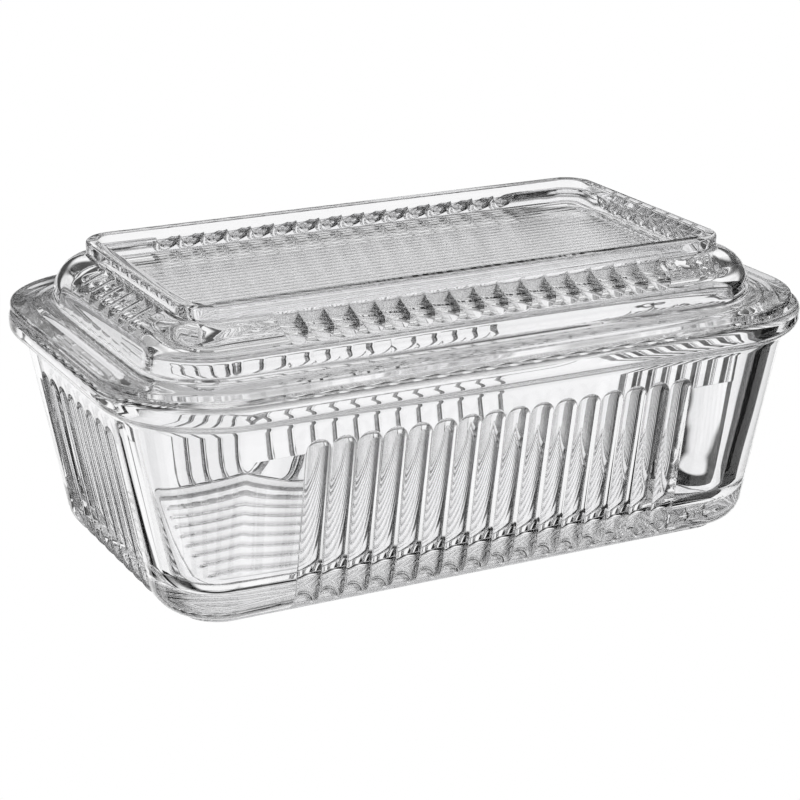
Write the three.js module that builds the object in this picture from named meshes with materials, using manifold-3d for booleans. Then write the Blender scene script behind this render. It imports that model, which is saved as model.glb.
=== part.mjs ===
// Pressed-glass butter dish: an oblong dish and the loose lid that stands on its rim.
// Millimetres, +Z up. The origin is on the table, under the middle of the dish.
import * as THREE from 'three';
import { mergeVertices } from 'three/addons/utils/BufferGeometryUtils.js';
import Module from 'manifold-3d';

const wasm = await Module();
wasm.setup();

// Overall size, and the radius of the rim's corners.
const LENGTH = 170;
const WIDTH = 105;
const CORNER_RADIUS = 26.2;

// Dish: heights above the table and insets from the outer face of the rim.
const DISH_HEIGHT = 54.5;
const RIM_DEPTH = 5.5;
const RIM_EDGE_RADIUS = 1.6;
const RIM_BEAD_RADIUS = 2.9;
const RIM_BEAD_LIFT = 0.9 * RIM_BEAD_RADIUS;
const RIM_BEAD_START = -64;
const RIM_TOP_WIDTH = 7.2;
const COLLAR_DROP = 1.4;
const WALL_TOP_INSET = 3.7;
const WALL_FOOT_INSET = 12.7;
const WALL_THICKNESS = 4.7;
const BASE_EDGE_RADIUS = 7;
const FLOOR_HEIGHT = 7;
const FLOOR_FILLET = 7;
const FOOT_INSET = 17.7;
const FOOT_HEIGHT = 1;
const FOOT_WIDTH = 5.5;
const FOOT_HOLLOW = 0.8;

// Lid: heights above its seat and insets from the outer face of the rim.
const SEAT_GAP = 0.3;
const LID_HEIGHT = 15.2;
const LID_PLAY = new THREE.Vector3(-0.9, 0, 0);
const FLANGE_INSET = 1.3;
const FLANGE_THICKNESS = 2.3;
const FLANGE_TOP_RADIUS = 1.9;
const FLANGE_TOP_START = 20;
const FLANGE_EDGE_RADIUS = 0.9;
const LIP_CLEARANCE = 1.5;
const LIP_DROP = 2.2;
const LIP_WIDTH = 3.6;
const LIP_LEAN = 0.5;
const SHOULDER_RUN = 7.9;
const SHOULDER_RISE = 9.3;
const GRIP_INSET = 18.9;
const GRIP_WIDTH = 2.9;
const GRIP_EDGE_RADIUS = 0.8;
const PANEL_DEPTH = 5.5;
const PANEL_THICKNESS = 4;
const PANEL_DRAFT = 1.2;
const PANEL_FILLET = 0.6;
const LID_WALL = 3.6;
const DOME_RISE = SHOULDER_RISE / 3;
const DOME_SHRINK = 0.4;
const DOME_START = 10;

// Flutes: upright scallops side by side, with sharp ridges between them.
const FLUTE_PITCH = 5.91;
const FLUTE_RADIUS = 3.2;
const FLUTE_ROUTE_START = -95;
const DISH_FLUTE_TOP = 11.2;
const DISH_FLUTE_PLAIN = { side: 11, end: 2.4 };
const LID_FLUTE_RADIUS = 3.1;
const LID_FLUTE_SLOPE = THREE.MathUtils.degToRad(22);
const LID_FLUTE_START = 6.2;
const LID_FLUTE_PLAIN = { side: 11, end: 5 };
const BASE_FLUTE_RADIUS = 5.3;
const BASE_FLUTE_PLAIN = 2.4;
const RIB_PITCH = 2.2;
const RIB_RADIUS = 0.9;
const RIB_HEIGHT = 0.3;
const RIB_MARGIN = 1.4;

// The least corner radius of an outline that lies inside the core rectangle.
const LEAST_CORNER = 0.5;

// Fineness of round stretches.
const CORNER_STEPS = 8;
const ARC_STEPS = 5;
const EDGE_STEPS = 2;
const BEAD_STEPS = 3;
const FLANGE_STEPS = 4;
const SHOULDER_STEPS = 7;
const ROD_SIDES = 12;
const BASE_ROD_SIDES = 20;
const RIB_ROD_SIDES = 8;
const BALL_STEPS = [40, 80];
const ROD_OVERLAP = 1;
const MERGE_DISTANCE = 1e-4;

// How far a cutter runs past the face that it cuts through.
const OVERCUT = 1;

// The straight stretches of every outline end at the corners of this core rectangle. An outline
// is the core grown outwards by a distance, so one profile of distances serves all four walls.
const CORE_X = LENGTH / 2 - CORNER_RADIUS;
const CORE_Y = WIDTH / 2 - CORNER_RADIUS;
const inset = (amount) => CORNER_RADIUS - amount;

// A profile point: distance out from the core rectangle, and height.
const at = (out, z) => new THREE.Vector2(out, z);

// Points on an arc, both ends included, from one angle to another in degrees.
function arc(centre, radiusOut, radiusUp, from, to, steps = ARC_STEPS) {
  const points = [];
  for (let i = 0; i <= steps; i += 1) {
    const angle = THREE.MathUtils.degToRad(from + ((to - from) * i) / steps);
    points.push(at(centre.x + radiusOut * Math.cos(angle), centre.y + radiusUp * Math.sin(angle)));
  }
  return points;
}

// One closed body through rings that have the same number of points, with flat ends.
function loft(rings) {
  const count = rings[0].length;
  const positions = [];
  const indices = [];
  const middles = [rings[0], rings[rings.length - 1]].map((ring) => {
    const sum = ring.reduce((total, point) => total.add(point), new THREE.Vector3());
    return sum.divideScalar(count);
  });
  rings.flat().concat(middles).forEach((point) => positions.push(point.x, point.y, point.z));
  const first = rings.length * count;
  for (let i = 0; i < count; i += 1) {
    const next = (i + 1) % count;
    const top = (rings.length - 1) * count;
    indices.push(first, next, i, first + 1, top + i, top + next);
    for (let k = 0; k < rings.length - 1; k += 1) {
      const low = k * count;
      const high = low + count;
      indices.push(low + i, low + next, high + next, low + i, high + next, high + i);
    }
  }
  const geometry = new THREE.BufferGeometry();
  geometry.setAttribute('position', new THREE.Float32BufferAttribute(positions, 3));
  geometry.setIndex(indices);
  return geometry;
}

function toSolid(geometry) {
  const merged = mergeVertices(geometry, MERGE_DISTANCE);
  return new wasm.Manifold(new wasm.Mesh({
    numProp: 3,
    vertProperties: new Float32Array(merged.attributes.position.array),
    triVerts: new Uint32Array(merged.index.array),
  }));
}

function toMesh(name, solid, material) {
  const { vertProperties, triVerts } = solid.getMesh();
  const geometry = new THREE.BufferGeometry();
  geometry.setAttribute('position', new THREE.BufferAttribute(vertProperties, 3));
  geometry.setIndex(new THREE.BufferAttribute(triVerts, 1));
  const mesh = new THREE.Mesh(geometry, material);
  mesh.name = name;
  return mesh;
}

// A rounded rectangle that stands a given distance outside the core rectangle.
function outline(point) {
  const radius = Math.max(point.x, LEAST_CORNER);
  const shrink = radius - point.x;
  const ring = [];
  [[1, 1, 0], [-1, 1, 90], [-1, -1, 180], [1, -1, 270]].forEach(([signX, signY, start]) => {
    for (let i = 0; i <= CORNER_STEPS; i += 1) {
      const angle = THREE.MathUtils.degToRad(start + (90 * i) / CORNER_STEPS);
      const x = signX * (CORE_X - shrink) + radius * Math.cos(angle);
      const y = signY * (CORE_Y - shrink) + radius * Math.sin(angle);
      ring.push(new THREE.Vector3(x, y, point.y));
    }
  });
  return ring;
}

// A body of rounded-rectangle outlines, from a profile that runs from bottom to top.
const walled = (profile) => toSolid(loft(profile.map(outline)));

// A rod with a ball end, which follows a route of profile points square to one wall.
function rod({ facing, along, route, radius, sides = ROD_SIDES }) {
  const out = new THREE.Vector3(Math.cos(facing), Math.sin(facing), 0);
  const side = new THREE.Vector3(-Math.sin(facing), Math.cos(facing), 0);
  const up = new THREE.Vector3(0, 0, 1);
  const core = Math.abs(out.x) > 0.5 ? CORE_X : CORE_Y;
  const stations = route.map((point, i) => {
    const before = route[Math.max(i - 1, 0)];
    const after = route[Math.min(i + 1, route.length - 1)];
    return { point, heading: after.clone().sub(before).normalize(), radius };
  });
  const last = stations[stations.length - 1];
  BALL_STEPS.forEach((degrees) => {
    const angle = THREE.MathUtils.degToRad(degrees);
    const point = last.point.clone().addScaledVector(last.heading, radius * Math.sin(angle));
    stations.push({ point, heading: last.heading, radius: radius * Math.cos(angle) });
  });
  return loft(stations.map((station) => {
    const normal = at(-station.heading.y, station.heading.x);
    const ring = [];
    for (let i = 0; i < sides; i += 1) {
      const turn = (2 * Math.PI * (i + 0.5)) / sides;
      const across = station.radius * Math.cos(turn);
      const lift = station.radius * Math.sin(turn);
      const spot = station.point.clone().addScaledVector(normal, lift);
      ring.push(new THREE.Vector3()
        .addScaledVector(out, core + spot.x)
        .addScaledVector(up, spot.y)
        .addScaledVector(side, along + across));
    }
    return ring;
  }));
}

// The flutes of all four walls, as many as fit between the plain stretches at the corners.
function fluteRods(plain, route, radius) {
  const rods = [];
  [[0, CORE_Y, plain.end], [90, CORE_X, plain.side],
    [180, CORE_Y, plain.end], [270, CORE_X, plain.side]].forEach(([degrees, half, margin]) => {
    const count = Math.floor((2 * (half - margin)) / FLUTE_PITCH);
    for (let i = 0; i < count; i += 1) {
      const along = (i - (count - 1) / 2) * FLUTE_PITCH;
      const facing = THREE.MathUtils.degToRad(degrees);
      rods.push(toSolid(rod({ facing, along, route, radius })));
    }
  });
  return rods;
}

const cutAll = (solid, cutters) => cutters.reduce((rest, cutter) => rest.subtract(cutter), solid);
const joinAll = (solid, pieces) => pieces.reduce((whole, piece) => whole.add(piece), solid);

// How deep a flute is cut for its ridges to meet: the rise of its round over half a pitch.
const fluteDepth = (radius) => radius - Math.sqrt(radius ** 2 - (FLUTE_PITCH / 2) ** 2);

// Dish. The wall leans outwards in a straight line from the base to the collar.
const COLLAR_Z = DISH_HEIGHT - RIM_DEPTH;
const WALL_TOP = at(inset(WALL_TOP_INSET), COLLAR_Z - COLLAR_DROP);
const WALL_FOOT = at(inset(WALL_FOOT_INSET), 0);
const WALL_LEAN = (WALL_TOP.x - WALL_FOOT.x) / (WALL_TOP.y - WALL_FOOT.y);
const WALL_ANGLE = THREE.MathUtils.radToDeg(Math.atan(WALL_LEAN));
const wallOut = (z) => WALL_FOOT.x + WALL_LEAN * (z - WALL_FOOT.y);

// Centre of a round of a given radius that touches a leaning wall and a floor at a height.
function roundCentre(radius, floorZ, thickness = 0) {
  const z = floorZ + radius;
  const slant = Math.hypot(1, WALL_LEAN);
  return at(wallOut(z) - (radius + thickness) * slant, z);
}

function makeDish() {
  const edge = roundCentre(BASE_EDGE_RADIUS, FOOT_HEIGHT);
  const bead = at(inset(RIM_BEAD_RADIUS), COLLAR_Z + RIM_BEAD_LIFT);
  const body = walled([
    ...arc(edge, BASE_EDGE_RADIUS, BASE_EDGE_RADIUS, -90, -WALL_ANGLE),
    WALL_TOP,
    ...arc(bead, RIM_BEAD_RADIUS, RIM_BEAD_RADIUS, RIM_BEAD_START, 0, BEAD_STEPS),
    ...arc(at(inset(RIM_EDGE_RADIUS), DISH_HEIGHT - RIM_EDGE_RADIUS), RIM_EDGE_RADIUS,
      RIM_EDGE_RADIUS, 0, 90, BEAD_STEPS),
  ]);

  const depth = fluteDepth(FLUTE_RADIUS);
  const reach = BASE_EDGE_RADIUS + FLUTE_RADIUS - depth;
  const topZ = DISH_HEIGHT - DISH_FLUTE_TOP - FLUTE_RADIUS;
  const top = at(wallOut(topZ) + (FLUTE_RADIUS - depth) * Math.hypot(1, WALL_LEAN), topZ);
  const route = [...arc(edge, reach, reach, FLUTE_ROUTE_START, -WALL_ANGLE, BEAD_STEPS), top];
  const fluted = cutAll(body, fluteRods(DISH_FLUTE_PLAIN, route, FLUTE_RADIUS));

  const footOut = inset(FOOT_INSET);
  const plinth = walled([at(footOut, 0), at(footOut, FLOOR_HEIGHT / 2)]);
  const mouth = inset(RIM_TOP_WIDTH);
  const cavity = walled([
    ...arc(roundCentre(FLOOR_FILLET, FLOOR_HEIGHT, WALL_THICKNESS), FLOOR_FILLET, FLOOR_FILLET,
      -90, -WALL_ANGLE),
    at(wallOut(WALL_TOP.y) - WALL_THICKNESS * Math.hypot(1, WALL_LEAN), WALL_TOP.y),
    at(mouth, DISH_HEIGHT - OVERCUT),
    at(mouth + OVERCUT, DISH_HEIGHT + OVERCUT),
  ]);
  const hollowOut = footOut - FOOT_WIDTH;
  const hollow = walled([at(hollowOut, -OVERCUT), at(hollowOut, FOOT_HOLLOW)]);
  return cutAll(fluted.add(plinth), [cavity, hollow, ...baseFlutes()]);
}

// Shallow flutes that run lengthwise under the base, inside the foot.
function baseFlutes() {
  const count = Math.floor((2 * (CORE_Y - BASE_FLUTE_PLAIN)) / FLUTE_PITCH);
  const depth = fluteDepth(BASE_FLUTE_RADIUS);
  const z = FOOT_HOLLOW + depth - BASE_FLUTE_RADIUS;
  const reach = CORE_X - BASE_FLUTE_RADIUS;
  const rods = [];
  for (let i = 0; i < count; i += 1) {
    const along = (i - (count - 1) / 2) * FLUTE_PITCH;
    [0, Math.PI].forEach((facing) => {
      const route = [at(-CORE_X - ROD_OVERLAP, z), at(reach - CORE_X, z)];
      const shape = { radius: BASE_FLUTE_RADIUS, sides: BASE_ROD_SIDES };
      rods.push(toSolid(rod({ facing, along, route, ...shape })));
    });
  }
  return rods;
}

// Lid. Its heights are above the seat on the rim, and move with the dish's height.
const SEAT_Z = DISH_HEIGHT + SEAT_GAP;
const LID_TOP = SEAT_Z + LID_HEIGHT;
const PANEL_Z = LID_TOP - PANEL_DEPTH;

function makeLid() {
  const flangeOut = inset(FLANGE_INSET);
  const flangeZ = SEAT_Z + FLANGE_THICKNESS;
  const gripOut = inset(GRIP_INSET);
  const lipOut = inset(RIM_TOP_WIDTH + LIP_CLEARANCE);
  const shoulderTop = flangeZ + SHOULDER_RISE;
  const skirt = walled([
    at(lipOut - LIP_LEAN, SEAT_Z - LIP_DROP),
    at(lipOut, SEAT_Z),
    ...arc(at(flangeOut - FLANGE_EDGE_RADIUS, SEAT_Z + FLANGE_EDGE_RADIUS), FLANGE_EDGE_RADIUS,
      FLANGE_EDGE_RADIUS, -90, 0, EDGE_STEPS),
    ...arc(at(flangeOut - 2 * FLANGE_TOP_RADIUS, flangeZ - FLANGE_TOP_RADIUS / 2),
      2 * FLANGE_TOP_RADIUS, FLANGE_TOP_RADIUS / 2, FLANGE_TOP_START, 90, FLANGE_STEPS),
    ...arc(at(gripOut, flangeZ), SHOULDER_RUN, SHOULDER_RISE, 0, 90, SHOULDER_STEPS),
  ]);

  const depth = fluteDepth(LID_FLUTE_RADIUS);
  const valley = at(gripOut, shoulderTop - depth / Math.cos(LID_FLUTE_SLOPE));
  const axis = at(Math.cos(LID_FLUTE_SLOPE), -Math.sin(LID_FLUTE_SLOPE));
  const start = valley.clone().add(at(-axis.y, axis.x).multiplyScalar(LID_FLUTE_RADIUS));
  const route = [
    start.clone().addScaledVector(axis, -LID_FLUTE_START),
    start.clone().addScaledVector(axis, SHOULDER_RUN),
  ];
  const fluted = cutAll(skirt, fluteRods(LID_FLUTE_PLAIN, route, LID_FLUTE_RADIUS));

  const grip = walled([
    at(gripOut, PANEL_Z - PANEL_THICKNESS / 2),
    ...arc(at(gripOut - GRIP_EDGE_RADIUS, LID_TOP - GRIP_EDGE_RADIUS), GRIP_EDGE_RADIUS,
      GRIP_EDGE_RADIUS, 0, 90, EDGE_STEPS),
  ]);
  const panelOut = gripOut - GRIP_WIDTH;
  const recess = walled([
    at(panelOut - PANEL_DRAFT - PANEL_FILLET, PANEL_Z),
    at(panelOut - PANEL_DRAFT, PANEL_Z + PANEL_FILLET),
    at(panelOut, LID_TOP),
    at(panelOut, LID_TOP + OVERCUT),
  ]);
  const underside = PANEL_Z - PANEL_THICKNESS;
  const innerFoot = at(gripOut + SHOULDER_RUN - LID_WALL, SEAT_Z);
  const hollow = walled([
    at(lipOut - LIP_WIDTH, SEAT_Z - LIP_DROP - OVERCUT),
    innerFoot,
    ...arc(at(gripOut, underside - DOME_RISE), innerFoot.x - gripOut - DOME_SHRINK,
      DOME_RISE, DOME_START, 90, FLANGE_STEPS),
  ]);
  return cutAll(fluted.add(grip), [recess, hollow]).add(panelRibs(panelOut));
}

// Fine ribs along the panel, close together from side to side.
function panelRibs(panelOut) {
  const reach = panelOut - PANEL_DRAFT - RIB_MARGIN;
  const count = 2 * Math.floor((CORE_Y + reach) / RIB_PITCH) + 1;
  const z = PANEL_Z + RIB_HEIGHT - RIB_RADIUS;
  const ribs = [];
  for (let i = 0; i < count; i += 1) {
    const along = (i - (count - 1) / 2) * RIB_PITCH;
    [0, Math.PI].forEach((facing) => {
      const route = [at(-CORE_X - ROD_OVERLAP, z), at(reach - RIB_RADIUS, z)];
      const shape = { radius: RIB_RADIUS, sides: RIB_ROD_SIDES };
      ribs.push(toSolid(rod({ facing, along, route, ...shape })));
    });
  }
  return joinAll(ribs[0], ribs.slice(1));
}

const glass = (name) => {
  const material = new THREE.MeshStandardMaterial({
    color: 0xeef2f2,
    roughness: 0.05,
    metalness: 0,
    transparent: true,
    opacity: 0.4,
  });
  material.name = name;
  return material;
};

const butterDish = new THREE.Group();
butterDish.name = 'butter_dish';
butterDish.add(toMesh('dish', makeDish(), glass('dish_glass')));
const lid = toMesh('lid', makeLid(), glass('lid_glass'));
lid.position.copy(LID_PLAY);
butterDish.add(lid);

export default butterDish;
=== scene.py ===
import math

import bpy
import numpy as np
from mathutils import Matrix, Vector


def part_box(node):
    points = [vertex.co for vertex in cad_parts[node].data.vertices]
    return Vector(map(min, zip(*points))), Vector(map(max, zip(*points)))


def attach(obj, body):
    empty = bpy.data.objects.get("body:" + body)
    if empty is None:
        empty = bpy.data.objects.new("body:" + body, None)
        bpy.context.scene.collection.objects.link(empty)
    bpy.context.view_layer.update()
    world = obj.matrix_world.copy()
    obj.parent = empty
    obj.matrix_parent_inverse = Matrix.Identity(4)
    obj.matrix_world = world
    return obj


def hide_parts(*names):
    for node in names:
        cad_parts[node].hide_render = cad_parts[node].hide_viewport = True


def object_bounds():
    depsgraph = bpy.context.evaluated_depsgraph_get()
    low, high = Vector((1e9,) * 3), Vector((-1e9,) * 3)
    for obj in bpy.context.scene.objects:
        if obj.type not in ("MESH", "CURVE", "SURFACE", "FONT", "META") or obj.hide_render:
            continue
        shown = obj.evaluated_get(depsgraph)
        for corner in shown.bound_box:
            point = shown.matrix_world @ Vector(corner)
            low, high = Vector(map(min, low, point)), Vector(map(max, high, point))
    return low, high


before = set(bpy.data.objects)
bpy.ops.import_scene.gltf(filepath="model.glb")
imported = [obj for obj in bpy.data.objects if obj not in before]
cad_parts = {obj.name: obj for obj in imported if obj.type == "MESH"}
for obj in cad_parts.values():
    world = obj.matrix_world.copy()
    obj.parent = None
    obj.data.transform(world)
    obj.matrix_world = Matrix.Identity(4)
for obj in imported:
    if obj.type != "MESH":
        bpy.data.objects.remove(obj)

cad_low, cad_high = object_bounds()

# Clear pressed-glass butter dish: an oblong dish and the loose lid that stands on its rim.
# Both are fine skins with the sections of the solids in the frame. Profiles are worked out in
# millimetres and degrees, as (out, z): the distance out from a core rectangle, and the height
# above the table.
MM = 0.001

# Sizes that come from the frame.
dish_low, dish_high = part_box("dish")
lid_low, lid_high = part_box("lid")
LENGTH = (dish_high.x - dish_low.x) / MM
WIDTH = (dish_high.y - dish_low.y) / MM
DISH_HEIGHT = dish_high.z / MM
LID_TOP = lid_high.z / MM
LID_SHIFT = (lid_low.x + lid_high.x) / 2

# Dish: heights above the table, and insets from the outer face of the rim.
CORNER_RADIUS = 26.2
RIM_DEPTH = 5.5
RIM_EDGE_RADIUS = 1.6
RIM_BEAD_RADIUS = 2.9
RIM_BEAD_LIFT = 0.9 * RIM_BEAD_RADIUS
RIM_BEAD_START = -64
RIM_TOP_WIDTH = 7.2
MOUTH_RADIUS = 1.2
COLLAR_DROP = 1.4
WALL_TOP_INSET = 3.7
WALL_FOOT_INSET = 12.7
WALL_THICKNESS = 4.7
BASE_EDGE_RADIUS = 7
FLOOR_HEIGHT = 7
FLOOR_FILLET = 7
INNER_WALL_HEIGHT = 30
FOOT_INSET = 17.7
FOOT_HEIGHT = 1
FOOT_WIDTH = 5.5
FOOT_HOLLOW = 0.8
FOOT_EDGE_RADIUS = 0.25

# Lid. Its flange lies a small gap above the rim, at SEAT_Z.
SEAT_GAP = 0.3
FLANGE_INSET = 1.3
FLANGE_THICKNESS = 2.3
FLANGE_TOP_RADIUS = 1.9
FLANGE_TOP_START = 14
FLANGE_EDGE_RADIUS = 0.9
LIP_CLEARANCE = 1.5
LIP_DROP = 2.2
LIP_WIDTH = 3.6
LIP_LEAN = 0.5
LIP_EDGE_RADIUS = 0.5
LIP_EDGE_START = 200
SHOULDER_RUN = 7.9
SHOULDER_RISE = 9.3
SHOULDER_FILLET = 1.2
SHOULDER_FOOT_GAP = 0.4
SHOULDER_FOOT_RISE = 0.12
GRIP_INSET = 18.9
GRIP_WIDTH = 2.9
GRIP_EDGE_RADIUS = 0.8
GRIP_INNER_EDGE_RADIUS = 0.5
GRIP_WALL_DROP = 2.5
PANEL_DEPTH = 5.5
PANEL_THICKNESS = 4
PANEL_DRAFT = 1.2
PANEL_FILLET = 0.6
LID_WALL = 3.6
DOME_RISE = SHOULDER_RISE / 3
DOME_SHRINK = 0.4
DOME_END = 10

# Flutes, with fire-polished ridges between them.
FLUTE_PITCH = 5.91
FLUTE_RADIUS = 3.2
RIDGE_SOFTNESS = 0.22
DISH_FLUTE_TOP = 11.2
DISH_FLUTE_PLAIN = {"side": 11, "end": 2.4}
LID_FLUTE_RADIUS = 3.1
LID_FLUTE_SLOPE = math.radians(22)
LID_FLUTE_PLAIN = {"side": 11, "end": 5}
BASE_FLUTE_RADIUS = 5.3
BASE_FLUTE_COUNT = 8
BASE_MARGIN = 1
RIB_PITCH = 2.2
RIB_RADIUS = 0.9
RIB_HEIGHT = 0.3
RIB_MARGIN = 1.2

# The fineness of the skins, and the shares and distances at which their extra rows lie.
FLUTE_STEPS = 14
CORNER_STEPS = 20
ARC_STEPS = 12
DOME_STEPS = 9
BEAD_STEPS = 8
RIM_STEPS = 7
EDGE_STEPS = 5
INNER_EDGE_STEPS = 4
SMALL_EDGE_STEPS = 3
STRIPE_STEPS = 10
END_STEPS = 6
WALL_SHARES = (0.33, 0.67, 1)
CAP_SHARES = (0.25, 0.45, 0.65, 0.8, 0.9, 0.97, 1)
CAP_CLEARANCES = (0.15, 0.8)
SHOULDER_CURVE_SHARES = (0.08, 0.2, 0.35, 0.5, 0.65, 0.8, 0.9, 0.97, 1)
SHOULDER_FLUTE_SHARES = (0.04, 0.15, 0.35, 0.55, 0.75, 0.9, 1)
HOLLOW_MARGINS = (1, 0.3)
DOME_MARGINS = (3, 1.5)
LIP_ROOT = ((-0.1, 0.4), (0.3, 0))
PANEL_MARGIN = 0.4
JOIN_MARGIN = 1
FLOOR_CORNERS = 64

# Lengths that count as nothing: WELD in metres, between vertices, and TINY in millimetres.
WELD = 1e-6
TINY = 1e-6

# Glass, with the scale of its waves per metre and their height in metres.
GLASS_COLOUR = (0.986, 0.986, 0.992, 1)
GLASS_IOR = 1.51
WAVE_SCALE = 55
WAVE_DETAIL = 1.5
WAVE_HEIGHT = 0.0006
WAVE_STRENGTH = 0.05
PIECE_WAVE_SHIFT = 3.7

# Studio. Panel gaps are (middle, half width) in degrees round from the back towards the right
# end. The pairs of heights that follow say where one light gives way to the next, and run from -1
# straight below the dish, through 0 on the horizon, to 1 straight above it.
PANEL_GAPS = ((94, 37), (-67, 15), (-25, 6), (-150, 45))
GAP_EDGE = 1.5
GAP_LIGHT = 0.01
PANEL_TOP = (0.6, 0.7)
CEILING_LIGHT = 0.5
HORIZON = (-0.05, 0)
HORIZON_TOP = (0.25, 0.4)
HORIZON_LIGHT = 0.07
TABLE_DEPTH = (-0.85, -0.65)
TABLE_MIDDLE = (-0.95, -0.9)
TABLE_LIGHT = 0
FLOOR_RADIUS = 6

# Camera, in degrees and metres, and how often light may pass a face of the glass.
VIEW_AZIMUTH = -26.78
VIEW_ELEVATION = 18.76
VIEW_DISTANCE = 0.5475
VIEW_LENS = 105.87
SENSOR_WIDTH = 36
NEAREST = 0.01
AIM_FROM_MIDDLE = Vector((-1.28, 0.65, -4.73)) * MM
LIGHT_BOUNCES = 32
MIRROR_BOUNCES = 16

# Places that follow from the sizes. The core is the rectangle on which the corners are centred.
CORE_X = LENGTH / 2 - CORNER_RADIUS
CORE_Y = WIDTH / 2 - CORNER_RADIUS
HALF_PITCH = FLUTE_PITCH / 2
SEAT_Z = DISH_HEIGHT + SEAT_GAP
PANEL_Z = LID_TOP - PANEL_DEPTH
COLLAR_Z = DISH_HEIGHT - RIM_DEPTH
WALL_TOP = CORNER_RADIUS - WALL_TOP_INSET
WALL_TOP_Z = COLLAR_Z - COLLAR_DROP
WALL_FOOT = CORNER_RADIUS - WALL_FOOT_INSET
WALL_LEAN = (WALL_TOP - WALL_FOOT) / WALL_TOP_Z
WALL_ANGLE = math.atan(WALL_LEAN)
WALL_SLANT = math.hypot(1, WALL_LEAN)


def inset(amount):
    """Distance out of a place that lies an amount inside the outer face of the rim."""
    return CORNER_RADIUS - amount


def wall_out(z):
    """Distance out of the dish's sloping wall at a height."""
    return WALL_FOOT + WALL_LEAN * z


def arc(out, z, run, rise, start, end, steps):
    """Points on an elliptical arc round a centre, from one angle to another in degrees."""
    angles = np.radians(np.linspace(start, end, steps + 1))
    return [(out + run * math.cos(a), z + rise * math.sin(a)) for a in angles]


def rounded(out, z, radius, start, end, steps):
    """Points on a round edge."""
    return arc(out, z, radius, radius, start, end, steps)


def softened(depth):
    """A depth whose edges at zero are rounded a little, as fire-polished ridges are."""
    return np.hypot(np.maximum(depth, 0), RIDGE_SOFTNESS) - RIDGE_SOFTNESS


def bowl(radius, across, along=0.0, half_width=HALF_PITCH):
    """Depth of a round-bottomed cut, by the distances across and along from its ball centre."""
    sunk = math.sqrt(radius**2 - half_width**2)
    return np.sqrt(np.maximum(radius**2 - across**2 - along**2, sunk**2)) - sunk


def spaced(count, pitch):
    """Middles of a number of stripes, side by side about the centre."""
    return [(stripe - (count - 1) / 2) * pitch for stripe in range(count)]


def wall_stations(half, plain, overrun):
    """Places along one wall: (distance from its middle, distance from its flute's middle)."""
    count = math.floor(2 * (half - plain) / FLUTE_PITCH)
    edge = count * HALF_PITCH
    outside = HALF_PITCH + overrun
    ends = [edge + overrun] if overrun else []
    stations = [(-half, outside)] + [(-end, outside) for end in ends]
    for middle in spaced(count, FLUTE_PITCH):
        for turn in np.linspace(-math.pi / 2, math.pi / 2, FLUTE_STEPS, endpoint=False):
            across = HALF_PITCH * math.sin(turn)
            stations.append((middle + across, across))
    stations.append((edge, HALF_PITCH))
    return stations + [(end, outside) for end in [*ends, half]]


def outline(plain, overrun=0.0):
    """Columns round the four walls and corners: foot on the core, heading, flute distance."""
    feet, headings, across = [], [], []
    for quarter, half, reach, margin in (
        (0, CORE_Y, CORE_X, plain["end"]),
        (1, CORE_X, CORE_Y, plain["side"]),
        (2, CORE_Y, CORE_X, plain["end"]),
        (3, CORE_X, CORE_Y, plain["side"]),
    ):
        facing = quarter * math.pi / 2
        ahead = np.array([math.cos(facing), math.sin(facing)])
        along = np.array([-ahead[1], ahead[0]])
        for place, distance in wall_stations(half, margin, overrun):
            feet.append(ahead * reach + along * place)
            headings.append(ahead)
            across.append(distance)
        for step in range(1, CORNER_STEPS):
            angle = facing + step * math.pi / 2 / CORNER_STEPS
            feet.append(ahead * reach + along * half)
            headings.append(np.array([math.cos(angle), math.sin(angle)]))
            across.append(HALF_PITCH + overrun)
    return np.array(feet), np.array(headings), np.array(across)


def deselect():
    """Leaves nothing selected."""
    for thing in bpy.context.selected_objects:
        thing.select_set(False)


def shaped_grid(name, columns, rows, places):
    """A grid primitive whose vertices, row by row, are set at the given places in millimetres."""
    deselect()
    bpy.ops.mesh.primitive_grid_add(x_subdivisions=columns - 1, y_subdivisions=rows - 1)
    piece = bpy.context.active_object
    piece.name = name
    piece.data.name = name
    piece.data.vertices.foreach_set("co", np.asarray(places).reshape(-1) * MM)
    piece.matrix_world.identity()
    return piece


def wrapped(name, columns, profile):
    """A skin wrapped round the outline, one ring of vertices for each row of the profile."""
    feet, headings, _ = columns
    rings = []
    for out, z in profile:
        flat = feet + headings * np.reshape(out, (-1, 1))
        height = np.broadcast_to(z, len(feet)).reshape(-1, 1)
        ring = np.hstack([flat, height])
        rings.append(np.vstack([ring, ring[:1]]))
    return shaped_grid(name, len(feet) + 1, len(rings), rings)


def welded(piece):
    """Merges the vertices of a piece that lie in the same place."""
    bpy.context.view_layer.objects.active = piece
    bpy.ops.object.mode_set(mode="EDIT")
    bpy.ops.mesh.select_all(action="SELECT")
    bpy.ops.mesh.remove_doubles(threshold=WELD)
    bpy.ops.object.mode_set(mode="OBJECT")


def close_at(piece, z):
    """Fills the open edges that lie at a height, one loop inside the other or one alone."""
    bpy.context.view_layer.objects.active = piece
    bpy.ops.object.mode_set(mode="EDIT")
    bpy.ops.mesh.select_mode(type="EDGE")
    bpy.ops.mesh.select_all(action="DESELECT")
    bpy.ops.mesh.select_non_manifold()
    bpy.ops.object.mode_set(mode="OBJECT")
    mesh = piece.data
    level = {v.index for v in mesh.vertices if abs(v.co.z - z * MM) < WELD}
    for edge in mesh.edges:
        edge.select = edge.select and level.issuperset(edge.vertices)
    bpy.ops.object.mode_set(mode="EDIT")
    bpy.ops.mesh.fill(use_beauty=False)
    bpy.ops.object.mode_set(mode="OBJECT")


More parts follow.
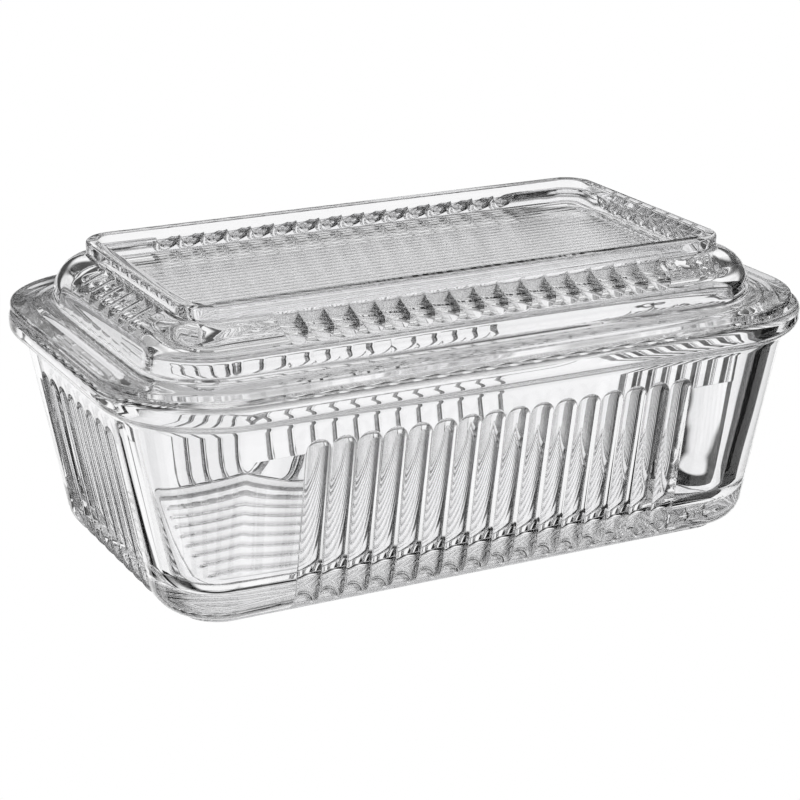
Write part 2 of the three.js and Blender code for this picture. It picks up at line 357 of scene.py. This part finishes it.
def finished(piece, parts):
    """Joins the parts into one closed, smooth piece with its faces outwards."""
    deselect()
    for part in [piece, *parts]:
        part.select_set(True)
    bpy.context.view_layer.objects.active = piece
    bpy.ops.object.join()
    bpy.ops.object.mode_set(mode="EDIT")
    bpy.ops.mesh.select_all(action="SELECT")
    bpy.ops.mesh.normals_make_consistent(inside=False)
    bpy.ops.object.mode_set(mode="OBJECT")
    bpy.ops.object.shade_smooth()
    return piece


def dish_profile(across):
    """Rows of the dish, from the hollow in its foot, up the outer wall and down the inside."""
    foot_out = inset(FOOT_INSET)
    hollow_out = foot_out - FOOT_WIDTH
    small = FOOT_EDGE_RADIUS
    rows = [(hollow_out - margin, FOOT_HOLLOW) for margin in HOLLOW_MARGINS]
    rows += rounded(hollow_out + small, small, small, 180, 270, SMALL_EDGE_STEPS)
    rows += rounded(foot_out - small, small, small, 270, 360, SMALL_EDGE_STEPS)

    edge_z = FOOT_HEIGHT + BASE_EDGE_RADIUS
    edge_out = wall_out(edge_z) - BASE_EDGE_RADIUS * WALL_SLANT
    depth = softened(bowl(FLUTE_RADIUS, across))
    start = -math.acos((foot_out - edge_out) / BASE_EDGE_RADIUS)
    for angle in np.linspace(start, -WALL_ANGLE, ARC_STEPS + 1):
        reach = BASE_EDGE_RADIUS - depth
        rows.append((edge_out + reach * math.cos(angle), edge_z + reach * math.sin(angle)))

    ball_z = DISH_HEIGHT - DISH_FLUTE_TOP - FLUTE_RADIUS
    cap = np.sqrt(np.maximum(HALF_PITCH**2 - across**2, 0))
    lower_z = edge_z - BASE_EDGE_RADIUS * math.sin(WALL_ANGLE)
    heights = [lower_z + (ball_z - lower_z) * share - ball_z for share in WALL_SHARES]
    climbs = [(height / math.cos(WALL_ANGLE), 0) for height in heights]
    climbs += [(0, share) for share in CAP_SHARES]
    for straight, share in climbs:
        up = share * cap
        sunk = softened(bowl(FLUTE_RADIUS, across, up))
        z = ball_z + (straight + up) * math.cos(WALL_ANGLE)
        rows.append((wall_out(z) - sunk * math.cos(WALL_ANGLE), z + sunk * math.sin(WALL_ANGLE)))
    for clearance in CAP_CLEARANCES:
        z = ball_z + (cap + clearance) * math.cos(WALL_ANGLE)
        rows.append((wall_out(z), z))

    below_top = WALL_TOP_Z - JOIN_MARGIN
    rows += [(wall_out(below_top), below_top), (WALL_TOP, WALL_TOP_Z)]
    rows += rounded(inset(RIM_BEAD_RADIUS), COLLAR_Z + RIM_BEAD_LIFT, RIM_BEAD_RADIUS,
                    RIM_BEAD_START, 0, BEAD_STEPS)
    rows += rounded(inset(RIM_EDGE_RADIUS), DISH_HEIGHT - RIM_EDGE_RADIUS, RIM_EDGE_RADIUS,
                    0, 90, RIM_STEPS)
    rows += rounded(inset(RIM_TOP_WIDTH) + MOUTH_RADIUS, DISH_HEIGHT - MOUTH_RADIUS, MOUTH_RADIUS,
                    90, 180, EDGE_STEPS)

    inner = WALL_THICKNESS * WALL_SLANT
    rows += [(wall_out(z) - inner, z) for z in (WALL_TOP_Z, below_top, INNER_WALL_HEIGHT)]
    fillet_z = FLOOR_HEIGHT + FLOOR_FILLET
    fillet_out = wall_out(fillet_z) - inner - FLOOR_FILLET * WALL_SLANT
    rows += rounded(fillet_out, fillet_z, FLOOR_FILLET, -math.degrees(WALL_ANGLE), -90, ARC_STEPS)
    return rows + [(fillet_out - JOIN_MARGIN, FLOOR_HEIGHT)]


def striped_grid(name, half_length, half_width, middles, radius, half_chord, z):
    """A flat rectangle with round-ended stripes along it, each standing up from it as an arc."""
    shares = np.sin(np.linspace(-math.pi / 2, math.pi / 2, STRIPE_STEPS + 1))
    ys = [middle + share * half_chord for middle in middles for share in shares]
    reach = half_length - JOIN_MARGIN
    ends = reach - half_chord * np.cos(np.linspace(0, math.pi / 2, END_STEPS))
    xs = np.concatenate([[-half_length], -ends[::-1], [0], ends, [half_length]])
    beyond = np.maximum(np.abs(xs) - ends[0], 0)
    places = []
    for y in [-half_width, *ys, half_width]:
        across = min(abs(y - middle) for middle in middles)
        lift = bowl(radius, across, beyond, half_chord)
        places.append(np.column_stack([xs, np.full(len(xs), y), z + lift]))
    return shaped_grid(name, len(xs), len(places), places)


def make_dish():
    """The dish, with the flutes under its base closed into the hollow of its foot."""
    columns = outline(DISH_FLUTE_PLAIN)
    piece = wrapped("dish_glass", columns, dish_profile(columns[2]))
    welded(piece)
    base = striped_grid("base_flutes", CORE_X + BASE_MARGIN, CORE_Y - BASE_MARGIN,
                        spaced(BASE_FLUTE_COUNT, FLUTE_PITCH), BASE_FLUTE_RADIUS, HALF_PITCH,
                        FOOT_HOLLOW)
    welded(base)
    piece = finished(piece, [base])
    close_at(piece, FOOT_HOLLOW)
    close_at(piece, FLOOR_HEIGHT)
    return finished(piece, [])


def shoulder_rows(across):
    """Rows of the lid's shoulder, from the flange up to the foot of the grip frame."""
    top_out = inset(GRIP_INSET)
    foot_z = SEAT_Z + FLANGE_THICKNESS
    slope = math.tan(LID_FLUTE_SLOPE)
    depth = softened(bowl(LID_FLUTE_RADIUS, across)) / math.cos(LID_FLUTE_SLOPE)
    fluted = across < HALF_PITCH + TINY
    line = SHOULDER_RISE - np.where(fluted, depth, 0)
    fall = slope * SHOULDER_RUN
    square = SHOULDER_RISE**2 + fall**2
    meeting = line * fall + np.sqrt((line * fall) ** 2 - square * (line**2 - SHOULDER_RISE**2))
    leave = np.arccos(np.minimum(meeting / square, 1))
    rows = []
    for share in SHOULDER_CURVE_SHARES:
        angle = leave * share
        rows.append((top_out + SHOULDER_RUN * np.cos(angle), foot_z + SHOULDER_RISE * np.sin(angle)))
    exit_run = SHOULDER_RUN * np.cos(leave)
    for share in SHOULDER_FLUTE_SHARES:
        run = exit_run * (1 - share)
        straight = foot_z + line - slope * run
        curve = foot_z + SHOULDER_RISE * np.sqrt(1 - (run / SHOULDER_RUN) ** 2)
        rows.append((top_out + run, np.where(fluted, np.minimum(straight, curve), curve)))
    return rows


def lid_profile(across):
    """Rows of the lid, from its hollow underneath, round the flange and up into the recess."""
    grip_out = inset(GRIP_INSET)
    flange_out = inset(FLANGE_INSET)
    flange_z = SEAT_Z + FLANGE_THICKNESS
    lip_out = inset(RIM_TOP_WIDTH + LIP_CLEARANCE)
    lip_z = SEAT_Z - LIP_DROP
    underside = PANEL_Z - PANEL_THICKNESS
    inner_foot = grip_out + SHOULDER_RUN - LID_WALL
    rows = [(grip_out - margin, underside) for margin in DOME_MARGINS]
    rows += arc(grip_out, underside - DOME_RISE, inner_foot - grip_out - DOME_SHRINK, DOME_RISE,
                90, DOME_END, DOME_STEPS)
    rows += [(inner_foot, SEAT_Z)]
    rows += rounded(lip_out - LIP_WIDTH + LIP_EDGE_RADIUS, lip_z + LIP_EDGE_RADIUS,
                    LIP_EDGE_RADIUS, LIP_EDGE_START, 270, SMALL_EDGE_STEPS)
    rows += rounded(lip_out - LIP_LEAN - LIP_EDGE_RADIUS, lip_z + LIP_EDGE_RADIUS,
                    LIP_EDGE_RADIUS, 270, 360, SMALL_EDGE_STEPS)
    rows += [(lip_out + out, SEAT_Z - drop) for out, drop in LIP_ROOT]

    rows += rounded(flange_out - FLANGE_EDGE_RADIUS, SEAT_Z + FLANGE_EDGE_RADIUS,
                    FLANGE_EDGE_RADIUS, -90, 0, EDGE_STEPS)
    rows += arc(flange_out - 2 * FLANGE_TOP_RADIUS, flange_z - FLANGE_TOP_RADIUS / 2,
                2 * FLANGE_TOP_RADIUS, FLANGE_TOP_RADIUS / 2, FLANGE_TOP_START, 90, RIM_STEPS)
    shoulder_foot = grip_out + SHOULDER_RUN
    rows += [(shoulder_foot + SHOULDER_FILLET, flange_z)]
    rows += [(shoulder_foot + SHOULDER_FOOT_GAP, flange_z + SHOULDER_FOOT_RISE)]
    rows += shoulder_rows(across)

    rows += [(grip_out, LID_TOP - GRIP_WALL_DROP)]
    rows += rounded(grip_out - GRIP_EDGE_RADIUS, LID_TOP - GRIP_EDGE_RADIUS, GRIP_EDGE_RADIUS,
                    0, 90, EDGE_STEPS)
    panel_out = grip_out - GRIP_WIDTH
    rows += rounded(panel_out + GRIP_INNER_EDGE_RADIUS, LID_TOP - GRIP_INNER_EDGE_RADIUS,
                    GRIP_INNER_EDGE_RADIUS, 90, 180, INNER_EDGE_STEPS)
    flat_out = panel_out - PANEL_DRAFT - PANEL_FILLET
    rows += rounded(flat_out, PANEL_Z + PANEL_FILLET, PANEL_FILLET, 0, -90, INNER_EDGE_STEPS)
    return rows + [(flat_out - PANEL_MARGIN, PANEL_Z)]


def make_lid():
    """The lid, with the ribs of its panel closed into the foot of the recess."""
    columns = outline(LID_FLUTE_PLAIN, LID_FLUTE_RADIUS - HALF_PITCH)
    piece = wrapped("lid_glass", columns, lid_profile(columns[2]))
    welded(piece)
    panel_out = inset(GRIP_INSET) - GRIP_WIDTH - PANEL_DRAFT - PANEL_FILLET - RIB_MARGIN
    half_chord = math.sqrt(RIB_RADIUS**2 - (RIB_RADIUS - RIB_HEIGHT) ** 2)
    half_width = CORE_Y + panel_out
    rib_count = 2 * math.floor(half_width / RIB_PITCH) + 1
    ribs = striped_grid("panel_ribs", CORE_X + panel_out, half_width,
                        spaced(rib_count, RIB_PITCH), RIB_RADIUS, half_chord, PANEL_Z)
    welded(ribs)
    piece = finished(piece, [ribs])
    close_at(piece, PANEL_Z)
    close_at(piece, PANEL_Z - PANEL_THICKNESS)
    for vertex in piece.data.vertices:
        vertex.co.x += LID_SHIFT
    return finished(piece, [])


def clear_glass(name, wave_shift):
    """Colourless pressed glass with the faint waviness that the mould leaves."""
    material = bpy.data.materials.new(name)
    material.use_nodes = True
    nodes = material.node_tree.nodes
    links = material.node_tree.links
    shader = nodes["Principled BSDF"]
    shader.inputs["Base Color"].default_value = GLASS_COLOUR
    shader.inputs["Roughness"].default_value = 0.0
    shader.inputs["IOR"].default_value = GLASS_IOR
    shader.inputs["Transmission Weight"].default_value = 1.0
    place = nodes.new("ShaderNodeTexCoord")
    shift = nodes.new("ShaderNodeMapping")
    shift.inputs["Location"].default_value = (wave_shift, wave_shift, wave_shift)
    waves = nodes.new("ShaderNodeTexNoise")
    waves.inputs["Scale"].default_value = WAVE_SCALE
    waves.inputs["Detail"].default_value = WAVE_DETAIL
    bump = nodes.new("ShaderNodeBump")
    bump.inputs["Strength"].default_value = WAVE_STRENGTH
    bump.inputs["Distance"].default_value = WAVE_HEIGHT
    links.new(place.outputs["Object"], shift.inputs["Vector"])
    links.new(shift.outputs["Vector"], waves.inputs["Vector"])
    links.new(waves.outputs["Fac"], bump.inputs["Height"])
    links.new(bump.outputs["Normal"], shader.inputs["Normal"])
    return material


def feed(tree, socket, value):
    """Gives a socket a number, or links another node's output to it."""
    if isinstance(value, (int, float)):
        socket.default_value = value
    else:
        tree.links.new(value, socket)


def mapped(tree, source, edge, low, high):
    """A soft step from one value to another as the source crosses an edge, (start, end)."""
    step = tree.nodes.new("ShaderNodeMapRange")
    step.interpolation_type = "SMOOTHSTEP"
    step.inputs["From Min"].default_value, step.inputs["From Max"].default_value = edge
    for socket, value in (("Value", source), ("To Min", low), ("To Max", high)):
        feed(tree, step.inputs[socket], value)
    return step.outputs["Result"]


def computed(tree, operation, *values):
    """The result of one math node."""
    node = tree.nodes.new("ShaderNodeMath")
    node.operation = operation
    for socket, value in zip(node.inputs, values):
        feed(tree, socket, value)
    return node.outputs[0]


def white_panels(tree, x, y):
    """White panels that stand upright round the table, with dark gaps between them."""
    azimuth = computed(tree, "ARCTAN2", x, y)
    light = 1.0
    for middle, half_width in PANEL_GAPS:
        away = computed(tree, "SUBTRACT", azimuth, math.radians(middle))
        nearness = computed(tree, "COSINE", away)
        outer = math.cos(math.radians(half_width + GAP_EDGE))
        inner = math.cos(math.radians(half_width - GAP_EDGE))
        light = mapped(tree, nearness, (outer, inner), light, GAP_LIGHT)
    return light


def make_floor():
    """A plain white floor that only the camera sees. The surround alone lights the glass."""
    deselect()
    bpy.ops.mesh.primitive_circle_add(
        vertices=FLOOR_CORNERS, radius=FLOOR_RADIUS, fill_type="NGON"
    )
    floor = bpy.context.active_object
    floor.name = "floor"
    floor.visible_transmission = False
    floor.visible_glossy = False
    floor.visible_diffuse = False
    paint = bpy.data.materials.new("floor_white")
    paint.use_nodes = True
    nodes = paint.node_tree.nodes
    nodes.remove(nodes["Principled BSDF"])
    glow = nodes.new("ShaderNodeEmission")
    glow.inputs["Color"].default_value = (1, 1, 1, 1)
    paint.node_tree.links.new(glow.outputs[0], nodes["Material Output"].inputs["Surface"])
    floor.data.materials.append(paint)


def make_surround():
    """Soft light from all round: upright white panels, a dim horizon, a ceiling and a table."""
    world = bpy.data.worlds.new("studio")
    bpy.context.scene.world = world
    world.use_nodes = True
    tree = world.node_tree
    place = tree.nodes.new("ShaderNodeTexCoord")
    split = tree.nodes.new("ShaderNodeSeparateXYZ")
    tree.links.new(place.outputs["Generated"], split.inputs["Vector"])
    height = split.outputs["Z"]
    panels = white_panels(tree, split.outputs["X"], split.outputs["Y"])
    above = mapped(tree, height, HORIZON_TOP, HORIZON_LIGHT, 1.0)
    dimming = mapped(tree, height, HORIZON, 1.0, above)
    panels = computed(tree, "MULTIPLY", panels, dimming)
    table = mapped(tree, height, TABLE_MIDDLE, 1.0, TABLE_LIGHT)
    panels = mapped(tree, height, TABLE_DEPTH, table, panels)
    light = mapped(tree, height, PANEL_TOP, panels, CEILING_LIGHT)
    path = tree.nodes.new("ShaderNodeLightPath")
    seen = computed(tree, "MAXIMUM", path.outputs["Is Camera Ray"], light)
    background = tree.nodes["Background"]
    background.inputs["Color"].default_value = (1, 1, 1, 1)
    tree.links.new(seen, background.inputs["Strength"])


def make_camera():
    """A camera with a long lens, a little above the dish and to the left of its front."""
    azimuth = math.radians(VIEW_AZIMUTH)
    elevation = math.radians(VIEW_ELEVATION)
    back = Vector((
        math.sin(azimuth) * math.cos(elevation),
        -math.cos(azimuth) * math.cos(elevation),
        math.sin(elevation),
    ))
    aim = (cad_low + cad_high) / 2 + AIM_FROM_MIDDLE
    data = bpy.data.cameras.new("camera")
    data.sensor_width = SENSOR_WIDTH
    data.lens = VIEW_LENS
    data.clip_start = NEAREST
    camera = bpy.data.objects.new("camera", data)
    bpy.context.scene.collection.objects.link(camera)
    camera.location = aim + back * VIEW_DISTANCE
    camera.rotation_euler = (-back).to_track_quat("-Z", "Y").to_euler()
    bpy.context.scene.camera = camera


make_camera()
make_floor()
make_surround()
for piece, body, wave_shift in (
    (make_dish(), "dish", 0.0),
    (make_lid(), "lid", PIECE_WAVE_SHIFT),
):
    piece.data.materials.clear()
    piece.data.materials.append(clear_glass(body + "_glass_finish", wave_shift))
    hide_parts(body)
    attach(piece, body)

scene = bpy.context.scene
scene.view_settings.view_transform = "Standard"
scene.cycles.max_bounces = LIGHT_BOUNCES
scene.cycles.transmission_bounces = LIGHT_BOUNCES
scene.cycles.glossy_bounces = MIRROR_BOUNCES
